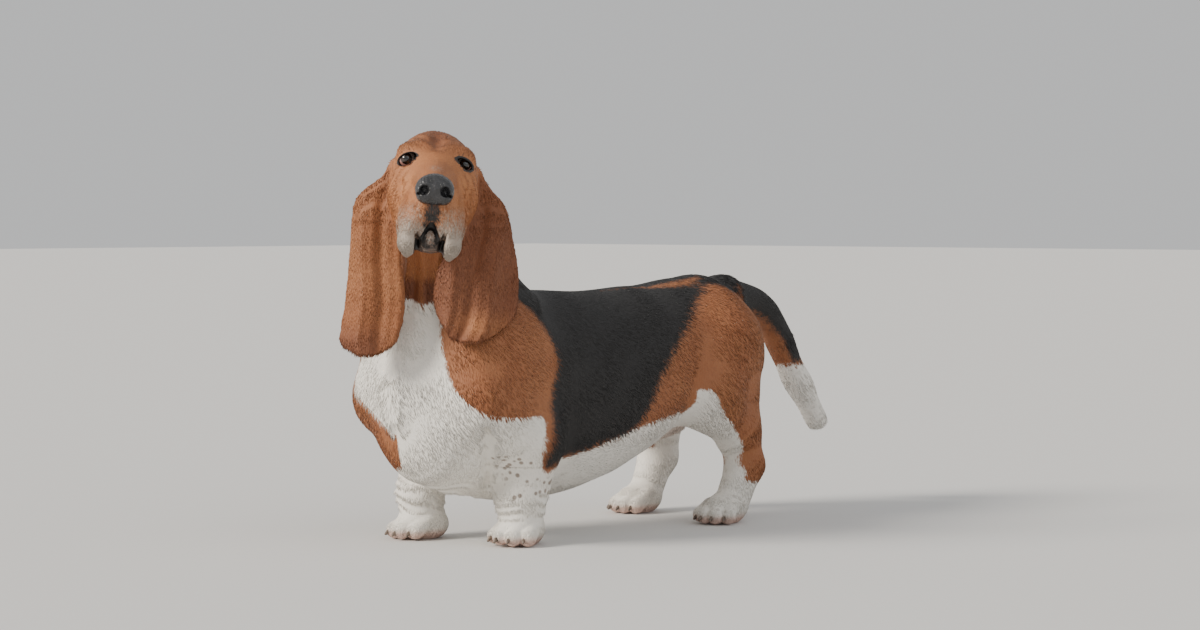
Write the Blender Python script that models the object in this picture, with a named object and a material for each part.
"""Basset hound, standing with its head turned to its left: a still, life-size model.

Metres, +Z up. The dog faces -Y and its own left is +X. The body and the head are two
fields of distance, each built up from round forms, cast as closed meshes, thinned to
facets and parted by thin cuts into the parts that a person would name.
"""

import math

import bmesh
import bpy
import numpy as np
import openvdb
from mathutils import Matrix, Vector

# Driving dimensions of the dog
BODY_LENGTH = 0.700          # front of the chest to the buttocks
WITHERS_HEIGHT = 0.368
CHEST_WIDTH = 0.262
CHEST_FRONT = -0.364         # where the front of the chest lies along Y
PAW_LENGTH = 0.098
PAW_WIDTH = 0.078
HEAD_YAW = math.radians(48.5)
HEAD_PITCH = math.radians(-6.0)
HEAD_ROLL = math.radians(5.5)
EYES_MIDDLE = (0.094, -0.378, 0.5436)
EYE_SPACING = 0.079
EYE_RADIUS = 0.0125
EYE_DEPTH = 0.0060           # eyeball centre behind the line through the eyes
NOSE_WIDTH = 0.050
EAR_THICKNESS = 0.0058
TAIL_RADIUS = 0.024

# How the meshes are made
BODY_VOXEL = 0.003
HEAD_VOXEL = 0.002
EAR_VOXEL = 0.0018
BODY_FACES = 5200
HEAD_FACES = 4200
EAR_FACES = 900
GAP = 0.0003                 # between two nodes that touch
SKIN_STEP = 0.0005           # how far the head's surface is grown before it cuts an ear
BIG = 0.6                    # the size of a cutter that reaches past everything
WINDOW_MARGIN = 0.03
FAR = 1.0

COLOURS = {
    "tan": (0.36, 0.13, 0.05),
    "ear": (0.25, 0.075, 0.03),
    "black": (0.012, 0.011, 0.012),
    "white": (0.80, 0.77, 0.72),
    "nose": (0.02, 0.019, 0.022),
    "eye": (0.035, 0.015, 0.008),
}


def smooth_min(a, b, blend):
    """The lesser of two distances, with a fillet of about this width where they meet."""
    if blend <= 0:
        return np.minimum(a, b)
    near = np.maximum(blend - np.abs(a - b), 0) / blend
    return np.minimum(a, b) - near * near * blend / 4


def curve_through(places, values):
    """A smooth function through a few named stations."""
    places, values = np.array(places), np.array(values)
    slopes = np.gradient(values, places)

    def value_at(place):
        place = np.clip(place, places[0], places[-1])
        k = np.clip(np.searchsorted(places, place) - 1, 0, len(places) - 2)
        width = places[k + 1] - places[k]
        t = (place - places[k]) / width
        rise = values[k + 1] - values[k]
        start, end = slopes[k] * width, slopes[k + 1] * width
        return values[k] + t * (start + t * (3 * rise - 2 * start - end + t * (start + end - 2 * rise)))

    return value_at


class Frame:
    """A place and a turn in which forms are described."""

    def __init__(self, origin=(0, 0, 0), turn=None):
        self.origin = Vector(origin)
        self.turn = turn or Matrix.Identity(3)
        self.plain = turn is None and self.origin.length == 0

    def world(self, point):
        return self.origin + self.turn @ Vector(point)

    def local(self, x, y, z):
        if self.plain:
            return x, y, z
        dx, dy, dz = x - self.origin.x, y - self.origin.y, z - self.origin.z
        return tuple(dx * c.x + dy * c.y + dz * c.z for c in self.turn.col)


BODY = Frame()
HEAD = Frame(
    EYES_MIDDLE,
    Matrix.Rotation(HEAD_YAW, 3, "Z")
    @ Matrix.Rotation(HEAD_PITCH, 3, "X")
    @ Matrix.Rotation(HEAD_ROLL, 3, "Y"),
)


def turned(frame, centre, degrees, axis):
    """A frame at this point of another one, turned about one of its axes."""
    return Frame(frame.world(centre), frame.turn @ Matrix.Rotation(math.radians(degrees), 3, axis))


class Form:
    """A closed form: its distance function and the box that holds it."""

    def __init__(self, distance, low, high):
        self.distance, self.low, self.high = distance, np.array(low), np.array(high)


def boxed(frame, points, reach):
    corners = np.array([frame.world(p) for p in points])
    return corners.min(axis=0) - reach, corners.max(axis=0) + reach


def ball(frame, centre, radii):
    """An ellipsoid along the frame's axes."""
    cx, cy, cz = centre
    rx, ry, rz = radii

    def distance(x, y, z):
        x, y, z = frame.local(x, y, z)
        x, y, z = x - cx, y - cy, z - cz
        outer = np.sqrt((x / rx) ** 2 + (y / ry) ** 2 + (z / rz) ** 2)
        inner = np.sqrt((x / rx**2) ** 2 + (y / ry**2) ** 2 + (z / rz**2) ** 2)
        return outer * (outer - 1) / np.maximum(inner, 1e-6)

    return Form(distance, *boxed(frame, [centre], max(radii)))


def limb(frame, start, end, start_radius, end_radius):
    """A round, tapering length between two points."""
    sx, sy, sz = start
    along = Vector(end) - Vector(start)
    whole = along.length_squared

    def distance(x, y, z):
        x, y, z = frame.local(x, y, z)
        x, y, z = x - sx, y - sy, z - sz
        t = np.clip((x * along.x + y * along.y + z * along.z) / whole, 0, 1)
        away = np.sqrt((x - t * along.x) ** 2 + (y - t * along.y) ** 2 + (z - t * along.z) ** 2)
        return away - start_radius - (end_radius - start_radius) * t

    return Form(distance, *boxed(frame, [start, end], max(start_radius, end_radius)))


def trunk():
    """The rump, belly and ribs: an egg-shaped section that changes along Y."""
    front = CHEST_FRONT
    back = front + BODY_LENGTH
    half = CHEST_WIDTH / 2
    # each station: place along Y, top, bottom, half width, how far it narrows towards the keel
    stations = [
        (front, 0.222, 0.195, 0.004, 0.0),
        (front + 0.012, 0.285, 0.138, 0.058, 0.12),
        (-0.335, 0.335, 0.106, 0.096, 0.18),
        (-0.30, 0.357, 0.086, 0.118, 0.20),
        (-0.20, WITHERS_HEIGHT, 0.060, half, 0.16),
        (-0.10, 0.361, 0.055, half, 0.06),
        (0.0, 0.358, 0.072, half, 0.0),
        (0.10, 0.363, 0.108, 0.125, 0.0),
        (0.16, 0.367, 0.138, 0.117, 0.04),
        (0.22, 0.374, 0.166, 0.110, 0.05),
        (0.28, 0.373, 0.190, 0.098, 0.0),
        (back - 0.02, 0.350, 0.225, 0.066, 0.0),
        (back, 0.305, 0.285, 0.004, 0.0),
    ]
    places, tops, bottoms, widths, keels = zip(*stations)
    top_at = curve_through(places, tops)
    bottom_at = curve_through(places, bottoms)
    width_at = curve_through(places, widths)
    keel_at = curve_through(places, keels)

    def distance(x, y, z):
        top, bottom = top_at(y), bottom_at(y)
        middle, tall = (top + bottom) / 2, (top - bottom) / 2
        rise = (z - middle) / tall
        wide = width_at(y) * (1 + keel_at(y) * np.clip(rise, -1, 1))
        outer = np.sqrt((x / wide) ** 2 + rise**2)
        inner = np.sqrt((x / wide**2) ** 2 + (rise / tall) ** 2)
        section = outer * (outer - 1) / np.maximum(inner, 1e-6)
        ends = np.maximum(front - y, y - back)
        return np.maximum(section, ends)

    return Form(distance, (-half, front, 0.05), (half, back, 0.38))


class Clay:
    """A grid of distances, below zero inside, that forms are added to and carved from."""

    def __init__(self, low, high, voxel):
        self.voxel = voxel
        self.low = np.floor(np.array(low) / voxel) * voxel
        counts = np.ceil((np.array(high) - self.low) / voxel).astype(int) + 1
        self.axes = [self.low[k] + voxel * np.arange(counts[k]) for k in range(3)]
        self.field = np.full(counts, FAR, np.float32)

    def window(self, form):
        parts = []
        for k, axis in enumerate(self.axes):
            first = np.searchsorted(axis, form.low[k] - WINDOW_MARGIN)
            last = np.searchsorted(axis, form.high[k] + WINDOW_MARGIN)
            parts.append(slice(first, last))
        places = [axis[part].astype(np.float32) for axis, part in zip(self.axes, parts)]
        return tuple(parts), np.ix_(*places)

    def add(self, form, blend=0.0):
        part, (x, y, z) = self.window(form)
        self.field[part] = smooth_min(self.field[part], form.distance(x, y, z), blend)

    def carve(self, form, blend=0.0):
        part, (x, y, z) = self.window(form)
        self.field[part] = -smooth_min(-self.field[part], form.distance(x, y, z), blend)

    def cast(self, name):
        """The surface of the clay as a mesh object."""
        near = 3 * self.voxel
        grid = openvdb.FloatGrid(near)
        grid.copyFromArray(np.clip(self.field, -near, near).astype(np.float64))
        points, quads = grid.convertToQuads()
        points = points * self.voxel + self.low
        mesh = bpy.data.meshes.new(name)
        mesh.from_pydata(points.tolist(), [], quads[:, ::-1].tolist())
        shape = bmesh.new()
        shape.from_mesh(mesh)
        bmesh.ops.recalc_face_normals(shape, faces=shape.faces)
        shape.to_mesh(mesh)
        shape.free()
        return placed(name, mesh)


def placed(name, mesh):
    obj = bpy.data.objects.new(name, mesh)
    bpy.context.scene.collection.objects.link(obj)
    return obj


def both_sides(place):
    """The point for the left side, and its mirror for the right."""
    x, y, z = place
    return [(x, y, z), (-x, y, z)]


# The forms of the body

# Each leg: its side, where its paw stands, how far the toes turn out, and its size
LEGS = {
    "leg_front_left": {"side": 1, "paw": (0.080, -0.205), "degrees": 14, "size": 1.0},
    "leg_front_right": {"side": -1, "paw": (-0.086, -0.245), "degrees": -14, "size": 1.0},
    "leg_hind_left": {"side": 1, "paw": (0.101, 0.210), "degrees": 8, "size": 0.92},
    "leg_hind_right": {"side": -1, "paw": (-0.101, 0.235), "degrees": -8, "size": 0.92},
}
# Each toe: how far across and ahead of the paw's middle, in paw widths and lengths
TOES = ((-0.34, -0.20), (-0.125, -0.33), (0.125, -0.33), (0.34, -0.20))
TOE_RADIUS = 0.0135
CLAW_LENGTH = 0.014
CLAW_RADIUS = 0.0040


def paw_frame(leg):
    return turned(BODY, (*leg["paw"], 0), leg["degrees"], "Z")


def toe_ends(leg):
    """Where each toe's rounded end is centred, in the paw's own frame."""
    wide, long = PAW_WIDTH * leg["size"], PAW_LENGTH * leg["size"]
    return [(across * wide, ahead * long, TOE_RADIUS) for across, ahead in TOES]


def add_paw(clay, leg):
    """Four toes in an arc, the knuckles over them and the heel behind, turned outwards."""
    frame = paw_frame(leg)
    wide, long = PAW_WIDTH * leg["size"], PAW_LENGTH * leg["size"]
    clay.add(ball(frame, (0, 0.006, 0.020), (wide * 0.43, long * 0.42, 0.026)), 0.012)
    for x, y, z in toe_ends(leg):
        clay.add(limb(frame, (x, y, z), (x * 0.8, y + 0.24 * long, 0.026), TOE_RADIUS, 0.014), 0.004)


def add_front_leg(clay, side, paw):
    """Shoulder, upper arm, forearm that bows in to the wrist, and pastern."""
    x, y = paw
    shift = y + 0.225
    clay.add(ball(BODY, (side * 0.088, -0.250, 0.245), (0.045, 0.085, 0.100)), 0.04)
    clay.add(limb(BODY, (side * 0.105, -0.300, 0.205), (side * 0.108, -0.205, 0.160), 0.042, 0.041), 0.03)
    elbow = (side * 0.104, -0.200 + shift * 0.5, 0.150)
    wrist = (x, y + 0.004, 0.066)
    clay.add(limb(BODY, elbow, wrist, 0.041, 0.034), 0.022)
    clay.add(limb(BODY, wrist, (x, y + 0.008, 0.030), 0.035, 0.030), 0.012)


def add_hind_leg(clay, side, paw):
    """Thigh, second thigh, hock and pastern."""
    x, y = paw
    shift = (y - 0.222) * 0.6
    hip, stifle = (side * 0.064, 0.240, 0.262), (side * 0.090, 0.206 + shift, 0.192)
    shin, hock = (side * 0.095, 0.254 + shift, 0.140), (side * 0.097, 0.278 + shift, 0.086)
    clay.add(limb(BODY, hip, stifle, 0.072, 0.048), 0.04)
    clay.add(ball(BODY, (side * 0.062, 0.270, 0.235), (0.044, 0.056, 0.080)), 0.03)
    clay.add(limb(BODY, stifle, shin, 0.044, 0.033), 0.03)
    clay.add(limb(BODY, (side * 0.082, 0.272 + shift, 0.185), hock, 0.036, 0.029), 0.03)
    clay.add(limb(BODY, hock, (x, y + 0.026, 0.034), 0.029, 0.027), 0.014)


TAIL_LINE = [
    (0, 0.305, 0.335), (0, 0.362, 0.338), (0, 0.404, 0.329), (0, 0.442, 0.302),
    (0, 0.472, 0.264), (0, 0.501, 0.218), (0, 0.532, 0.178), (0, 0.561, 0.137),
]
TAIL_TAPER = [1.3, 1.15, 1.05, 1.0, 0.95, 0.90, 0.82, 0.6]

NECK_LOW = (0.0, -0.235, 0.325)
NECK_MIDDLE = (0.008, -0.280, 0.420)
NECK_TOP = (0.026, -0.310, 0.500)
# The two folds of loose skin that hang down the throat
DEWLAP_FOLDS = [
    ((0.060, -0.352, 0.425), (0.042, -0.350, 0.340)),
    ((0.038, -0.370, 0.425), (0.020, -0.366, 0.345)),
]
DEWLAP_FOLD = 0.013


def add_neck(clay):
    clay.add(limb(BODY, NECK_LOW, NECK_MIDDLE, 0.098, 0.070), 0.03)
    clay.add(limb(BODY, NECK_MIDDLE, NECK_TOP, 0.069, 0.054), 0.03)
    clay.add(limb(BODY, (0.012, -0.315, 0.300), (0.038, -0.332, 0.425), 0.055, 0.036), 0.03)
    for start, end in DEWLAP_FOLDS:
        clay.add(limb(BODY, start, end, DEWLAP_FOLD, DEWLAP_FOLD * 0.9), 0.010)


def body_clay():
    clay = Clay((-0.17, -0.43, -0.018), (0.17, 0.61, 0.57), BODY_VOXEL)
    clay.add(trunk())
    clay.add(ball(BODY, (0, -0.298, 0.215), (0.096, 0.076, 0.112)), 0.04)
    add_neck(clay)
    for name, leg in LEGS.items():
        add_leg = add_front_leg if "front" in name else add_hind_leg
        add_leg(clay, leg["side"], leg["paw"])
        add_paw(clay, leg)
    for k in range(len(TAIL_LINE) - 1):
        radii = [TAIL_RADIUS * t for t in TAIL_TAPER[k:k + 2]]
        clay.add(limb(BODY, TAIL_LINE[k], TAIL_LINE[k + 1], *radii), 0.02 if k == 0 else 0.004)
    clay.add(limb(BODY, (0, 0.130, 0.132), (0, 0.215, 0.152), 0.018, 0.020), 0.02)
    clay.add(ball(BODY, (0, 0.262, 0.170), (0.024, 0.026, 0.028)), 0.012)
    return clay


# The forms of the head, in its own frame: eyes at the origin, forward is -Y

def add_skull(clay):
    """Dome, occiput, cheeks and brows, with a furrow down the forehead."""
    clay.add(ball(HEAD, (0, 0.052, -0.008), (0.0580, 0.080, 0.0570)))
    clay.add(ball(HEAD, (0, 0.112, 0.006), (0.028, 0.030, 0.029)), 0.03)
    for x, y, z in both_sides((0.036, 0.022, -0.038)):
        clay.add(ball(HEAD, (x, y, z), (0.0225, 0.048, 0.038)), 0.03)
    for x, y, z in both_sides((0.031, 0.036, -0.076)):
        clay.add(ball(HEAD, (x, y, z), (0.020, 0.042, 0.033)), 0.03)
    for x, y, z in both_sides((0.031, 0.004, 0.012)):
        clay.add(ball(HEAD, (x, y, z), (0.021, 0.015, 0.0125)), 0.014)
    clay.carve(limb(HEAD, (0, -0.016, 0.018), (0, 0.026, 0.051), 0.0030, 0.0045), 0.012)


def add_muzzle(clay):
    """The bridge, the sides of the muzzle, the hanging upper lips and the chin between them."""
    clay.add(limb(HEAD, (0, -0.005, -0.024), (0, -0.098, -0.052), 0.036, 0.0255), 0.02)
    clay.add(limb(HEAD, (0, 0.010, -0.060), (0, -0.070, -0.078), 0.040, 0.031), 0.02)
    for side in (1, -1):
        high, low = (side * 0.040, 0.000, -0.048), (side * 0.028, -0.050, -0.090)
        clay.add(limb(HEAD, high, low, 0.019, 0.018), 0.025)
        clay.add(ball(HEAD, (side * 0.0285, -0.056, -0.096), (0.0165, 0.050, 0.045)), 0.016)
        high, low = (side * 0.0115, -0.103, -0.078), (side * 0.0265, -0.082, -0.120)
        clay.add(limb(HEAD, high, low, 0.0150, 0.0125), 0.012)
    clay.carve(ball(HEAD, (0, -0.095, -0.132), (0.0185, 0.060, 0.038)), 0.004)
    clay.add(limb(HEAD, (0, 0.030, -0.085), (0, -0.040, -0.106), 0.034, 0.024), 0.012)
    clay.add(limb(HEAD, (0, -0.040, -0.106), (0, -0.090, -0.109), 0.0165, 0.0130), 0.004)


def carve_mouth(clay):
    """The groove under the nose, and the space between the hanging lips and the jaw."""
    clay.carve(limb(HEAD, (0, -0.136, -0.066), (0, -0.119, -0.094), 0.0010, 0.0020), 0.004)
    for side in (1, -1):
        edge = turned(HEAD, (side * 0.0195, -0.050, -0.128), side * 12, "Y")
        clay.carve(ball(edge, (0, 0, 0), (0.0030, 0.056, 0.026)), 0.003)


def add_nose(clay):
    """A broad, blunt nose with round nostrils that end in a slit at the side."""
    half = NOSE_WIDTH / 2
    clay.add(ball(HEAD, (0, -0.113, -0.050), (half, 0.021, 0.0195)), 0.004)
    for side in (1, -1):
        clay.add(ball(HEAD, (side * 0.0125, -0.122, -0.0525), (0.0118, 0.0135, 0.0155)), 0.006)
        clay.carve(ball(HEAD, (side * 0.0125, -0.139, -0.0535), (0.0064, 0.0130, 0.0066)), 0.002)
        clay.carve(ball(HEAD, (side * 0.0200, -0.130, -0.0580), (0.0060, 0.0100, 0.0024)), 0.002)


LID_SLANT = 16               # degrees by which the outer corner of an eye lies lower
CHEEK_FOLD = 0.0055


def eye_places():
    return both_sides((EYE_SPACING / 2, EYE_DEPTH, 0))


def add_lids(clay):
    """A lid ring bulges round each eyeball. The opening slants, and its lower edge droops."""
    lid = EYE_RADIUS + 0.0030
    for x, y, z in eye_places():
        side = math.copysign(1, x)
        clay.add(ball(HEAD, (x, y, z), (lid, lid, lid)), 0.008)
        clay.add(ball(HEAD, (x * 1.04, y - 0.008, z - 0.019), (0.014, 0.009, 0.007)), 0.010)
        slant = turned(HEAD, (x, y, z), side * LID_SLANT, "Y")
        opening = (EYE_RADIUS * 0.92, EYE_RADIUS * 1.3, EYE_RADIUS * 0.62)
        clay.carve(ball(slant, (0, -EYE_RADIUS * 1.25, -0.0005), opening), 0.002)
        droop = (EYE_RADIUS * 0.55, EYE_RADIUS * 1.2, EYE_RADIUS * 0.50)
        clay.carve(ball(slant, (side * 0.001, -EYE_RADIUS * 1.2, -0.0050), droop), 0.003)


def add_cheek_folds(clay):
    """The loose skin that hangs from behind each eye to the back of the lips."""
    for side in (1, -1):
        line = [
            (side * 0.0555, 0.014, -0.006), (side * 0.0545, 0.004, -0.040),
            (side * 0.0480, -0.012, -0.080), (side * 0.0390, -0.026, -0.118),
        ]
        for start, end in zip(line, line[1:]):
            clay.add(limb(HEAD, start, end, CHEEK_FOLD, CHEEK_FOLD), 0.006)


# Each ear: where it starts, and its middle and half width at some drops below that

EARS = {
    "ear_left": {
        "side": 1,
        "root": (0.057, 0.028, -0.001),
        "turn": 8,
        "bend": (8.0, 6.0),
        "drops": [0.0, 0.02, 0.05, 0.08, 0.11, 0.14, 0.17, 0.20, 0.22, 0.235, 0.242],
        "middles": [0.002, 0.003, 0.011, 0.012, 0.008, 0.003, 0.002, 0.001, -0.003, -0.010, -0.014],
        "halves": [0.003, 0.013, 0.027, 0.038, 0.050, 0.058, 0.062, 0.058, 0.046, 0.028, 0.006],
    },
    "ear_right": {
        "side": -1,
        "root": (-0.057, 0.028, -0.001),
        "turn": -12,
        "bend": (15.0, 6.0),
        "drops": [0.0, 0.02, 0.05, 0.08, 0.11, 0.14, 0.17, 0.20, 0.23, 0.258, 0.270],
        "middles": [0.002, 0.004, 0.023, 0.028, 0.029, 0.028, 0.027, 0.029, 0.035, 0.039, 0.036],
        "halves": [0.003, 0.013, 0.032, 0.035, 0.036, 0.041, 0.045, 0.047, 0.047, 0.034, 0.008],
    },
}
EAR_FOLD = 0.0045            # depth of the long folds
EAR_FOLD_PITCH = 0.052
EAR_FORWARD = 0.016          # the lower flap stands this far in front of its root


def ear_form(ear):
    """A hanging flap, hollow behind, with long folds: a sheet of even thickness."""
    side = ear["side"]
    spin = HEAD_YAW + math.radians(ear["turn"])
    frame = Frame(HEAD.world(ear["root"]), Matrix.Rotation(spin, 3, "Z"))
    middle_at = curve_through(ear["drops"], ear["middles"])
    half_at = curve_through(ear["drops"], ear["halves"])
    longest = ear["drops"][-1]

    def distance(x, y, z):
        across, back, up = frame.local(x, y, z)
        drop = -up
        a = side * across - middle_at(drop)
        half = half_at(drop)
        bend = np.where(a > 0, *ear["bend"])
        fade = np.clip(drop / 0.08, 0, 1)
        fold = EAR_FOLD * fade * np.cos(2 * math.pi * a / EAR_FOLD_PITCH + 9 * drop)
        sheet = bend * a * a - EAR_FORWARD * fade + fold
        steep = np.sqrt(1 + (2 * bend * a) ** 2 + 0.15 * fade)
        through = np.abs(back - sheet) / steep - EAR_THICKNESS / 2
        edge = np.maximum(np.abs(a) - half, np.maximum(drop - longest, -drop))
        return -smooth_min(-through, -edge, EAR_THICKNESS * 0.8)

    reach = 0.09
    low = (frame.origin.x - reach, frame.origin.y - reach, frame.origin.z - longest - 0.01)
    high = (frame.origin.x + reach, frame.origin.y + reach, frame.origin.z + 0.03)
    return Form(distance, low, high)


def head_clay():
    clay = Clay((-0.09, -0.54, 0.36), (0.24, -0.19, 0.62), HEAD_VOXEL)
    add_skull(clay)
    add_muzzle(clay)
    add_neck(clay)
    carve_mouth(clay)
    add_nose(clay)
    add_lids(clay)
    add_cheek_folds(clay)
    return clay


def ear_clay(ear):
    form = ear_form(ear)
    clay = Clay(form.low, form.high, EAR_VOXEL)
    clay.add(form)
    return clay


# Cutting, thinning and parting

def thinned(obj, faces):
    """The same form in about this many triangles."""
    modifier = obj.modifiers.new("thin", "DECIMATE")
    modifier.ratio = faces / (2 * len(obj.data.polygons))
    modifier.use_collapse_triangulate = True
    return applied(obj)


def applied(obj):
    """The object with its modifiers' result as its mesh."""
    graph = bpy.context.evaluated_depsgraph_get()
    mesh = bpy.data.meshes.new_from_object(obj.evaluated_get(graph))
    obj.modifiers.clear()
    obj.data = mesh
    return obj


def combine(obj, other, operation):
    modifier = obj.modifiers.new("cut", "BOOLEAN")
    modifier.object = other
    modifier.operation = operation
    modifier.solver = "EXACT"
    return applied(obj)


def placed_mesh(name, shape):
    mesh = bpy.data.meshes.new(name)
    shape.to_mesh(mesh)
    shape.free()
    return placed(name, mesh)


def block(frame, size, middle=(0, 0, 0)):
    """A box cutter in a frame."""
    shape = bmesh.new()
    place = Matrix.LocRotScale(frame.world(middle), frame.turn, Vector(size))
    bmesh.ops.create_cube(shape, size=1, matrix=place)
    return placed_mesh("block", shape)


def above(frame, grow=0.0):
    """A cutter that holds all that lies above a frame's own floor."""
    return block(frame, (BIG, BIG, BIG), (0, 0, BIG / 2 - grow))


def below(frame, grow=0.0):
    return block(frame, (BIG, BIG, BIG), (0, 0, grow - BIG / 2))


def drum(frame, radii, low, high, grow=0.0):
    """An oval cutter that stands along a frame's Z axis."""
    shape = bmesh.new()
    size = Vector((radii[0] + grow, radii[1] + grow, high - low + 2 * grow))
    place = Matrix.LocRotScale(frame.world((0, 0, (low + high) / 2)), frame.turn, size)
    bmesh.ops.create_cone(
        shape, cap_ends=True, segments=28, radius1=1, radius2=1, depth=1, matrix=place
    )
    return placed_mesh("drum", shape)


def globe(centre, radius):
    shape = bmesh.new()
    place = Matrix.Translation(HEAD.world(centre)) @ HEAD.turn.to_4x4()
    bmesh.ops.create_uvsphere(shape, u_segments=20, v_segments=12, radius=radius, matrix=place)
    return placed_mesh("globe", shape)


def remove(*objects):
    for obj in objects:
        bpy.data.objects.remove(obj)


def cut(obj, cutter, operation="DIFFERENCE"):
    """The object less the cutter, or what both hold, with the cutter used up."""
    combine(obj, cutter, operation)
    remove(cutter)
    return obj


def copy_of(obj, name):
    return placed(name, obj.data.copy())


def largest(obj):
    """The object with only its largest closed surface."""
    shape = bmesh.new()
    shape.from_mesh(obj.data)
    left, best = set(shape.verts), set()
    while left:
        group, edge = set(), [left.pop()]
        while edge:
            vert = edge.pop()
            group.add(vert)
            found = {link.other_vert(vert) for link in vert.link_edges} & left
            left -= found
            edge.extend(found)
        best = max(best, group, key=len)
    bmesh.ops.delete(shape, geom=[v for v in shape.verts if v not in best], context="VERTS")
    shape.to_mesh(obj.data)
    shape.free()
    return obj


# Where the nodes part from each other

NECK_CUT = turned(HEAD, (0, 0.076, -0.070), 51, "X")
NOSE_CUT = turned(HEAD, (0, -0.1135, -0.052), 90, "X")
NOSE_RADII = (0.0262, 0.0225)
TORSO_CUT = turned(BODY, (0, -0.265, 0.352), 18, "X")
TAIL_CUT = turned(BODY, (0, 0.366, 0.338), -80, "X")
FRONT_DRUM = {"middle": (0.097, -0.228), "radii": (0.064, 0.088), "top": 0.168}
HIND_DRUM = {"middle": (0.096, 0.248), "radii": (0.066, 0.100), "top": 0.235}


def leg_drum(name, grow=0.0):
    shape = FRONT_DRUM if "front" in name else HIND_DRUM
    x, y = shape["middle"]
    frame = turned(BODY, (LEGS[name]["side"] * x, y, 0), 0, "Z")
    return drum(frame, shape["radii"], -0.03, shape["top"], grow)


def add_claws(obj, leg):
    """Four short claws, each a tapered cone sunk in the end of its toe."""
    frame = paw_frame(leg)
    for x, y, z in toe_ends(leg):
        shape = bmesh.new()
        tilt = frame.turn @ Matrix.Rotation(math.radians(64), 3, "X")
        middle = frame.world((x, y - TOE_RADIUS, z * 0.62))
        place = Matrix.LocRotScale(middle, tilt, None)
        bmesh.ops.create_cone(
            shape, cap_ends=True, segments=7, radius1=CLAW_RADIUS * 0.55, radius2=CLAW_RADIUS,
            depth=CLAW_LENGTH, matrix=place,
        )
        cut(obj, placed_mesh("claw", shape), "UNION")


def body_nodes():
    """Neck, torso, tail and legs, parted from one casting."""
    body = thinned(body_clay().cast("torso"), BODY_FACES)
    cut(body, above(NECK_CUT, GAP / 2))
    cut(body, below(turned(BODY, (0, 0, 0), 0, "Z")))
    nodes = []
    for name in LEGS:
        leg = cut(copy_of(body, name), leg_drum(name), "INTERSECT")
        add_claws(largest(leg), LEGS[name])
        nodes.append(leg)
    neck = cut(copy_of(body, "neck"), above(TORSO_CUT), "INTERSECT")
    tail = cut(copy_of(body, "tail"), above(TAIL_CUT), "INTERSECT")
    for name in LEGS:
        cut(body, leg_drum(name, GAP))
    cut(body, above(TORSO_CUT, GAP))
    cut(body, above(TAIL_CUT, GAP))
    return [largest(node) for node in (body, neck, tail)] + nodes


def grown(obj):
    """A copy whose surface stands a little proud, to cut what touches it."""
    copy = copy_of(obj, "grown")
    modifier = copy.modifiers.new("grow", "DISPLACE")
    modifier.strength = SKIN_STEP
    modifier.mid_level = 0.0
    return applied(copy)


def head_nodes():
    """Head, nose, eyes and ears."""
    head = thinned(head_clay().cast("head"), HEAD_FACES)
    cut(head, below(NECK_CUT, GAP / 2))
    largest(head)
    nodes = []
    for name, ear in EARS.items():
        flap = thinned(ear_clay(ear).cast(name), EAR_FACES)
        nodes.append(largest(cut(flap, grown(head))))
    nose = cut(copy_of(head, "nose"), drum(NOSE_CUT, NOSE_RADII, 0, 0.05), "INTERSECT")
    cut(head, drum(NOSE_CUT, NOSE_RADII, 0, 0.05, GAP))
    for name, centre in zip(("eye_left", "eye_right"), eye_places()):
        cut(head, globe(centre, EYE_RADIUS + GAP))
        eye = globe(centre, EYE_RADIUS)
        eye.name = name
        nodes.append(eye)
    return [largest(head), largest(nose)] + nodes


# Colours, names and the place where it stands

FINISHES = {
    "head": ("tan", 0.75), "ear": ("ear", 0.7), "nose": ("nose", 0.45), "eye": ("eye", 0.1),
    "neck": ("tan", 0.75), "torso": ("tan", 0.7), "tail": ("white", 0.75), "leg": ("white", 0.75),
}


def material_for(name):
    colour, roughness = FINISHES[name.split("_")[0]]
    material = bpy.data.materials.new(name)
    material.use_nodes = True
    shader = material.node_tree.nodes["Principled BSDF"]
    shader.inputs["Base Color"].default_value = (*COLOURS[colour], 1)
    shader.inputs["Roughness"].default_value = roughness
    shader.inputs["Metallic"].default_value = 0.0
    return material


def corners_of(objects):
    points = np.array([v.co for obj in objects for v in obj.data.vertices])
    return points.min(axis=0), points.max(axis=0)


def set_down(objects):
    """Moves the model so that the middle of its box's floor is the origin."""
    low, high = corners_of(objects)
    shift = Vector((-(low[0] + high[0]) / 2, -(low[1] + high[1]) / 2, -low[2]))
    for obj in objects:
        obj.data.transform(Matrix.Translation(shift))


def gather(objects):
    """All nodes in a collection named for the object, each with its own material."""
    collection = bpy.data.collections.new("basset_hound")
    bpy.context.scene.collection.children.link(collection)
    for obj in objects:
        bpy.context.scene.collection.objects.unlink(obj)
        collection.objects.link(obj)
        obj.data.materials.clear()
        obj.data.materials.append(material_for(obj.name))
        obj.data.shade_smooth()
        obj.data.set_sharp_from_angle(angle=math.radians(50))


def clear_scene():
    for obj in list(bpy.data.objects):
        bpy.data.objects.remove(obj)


def main():
    clear_scene()
    nodes = body_nodes() + head_nodes()
    set_down(nodes)
    gather(nodes)


main()
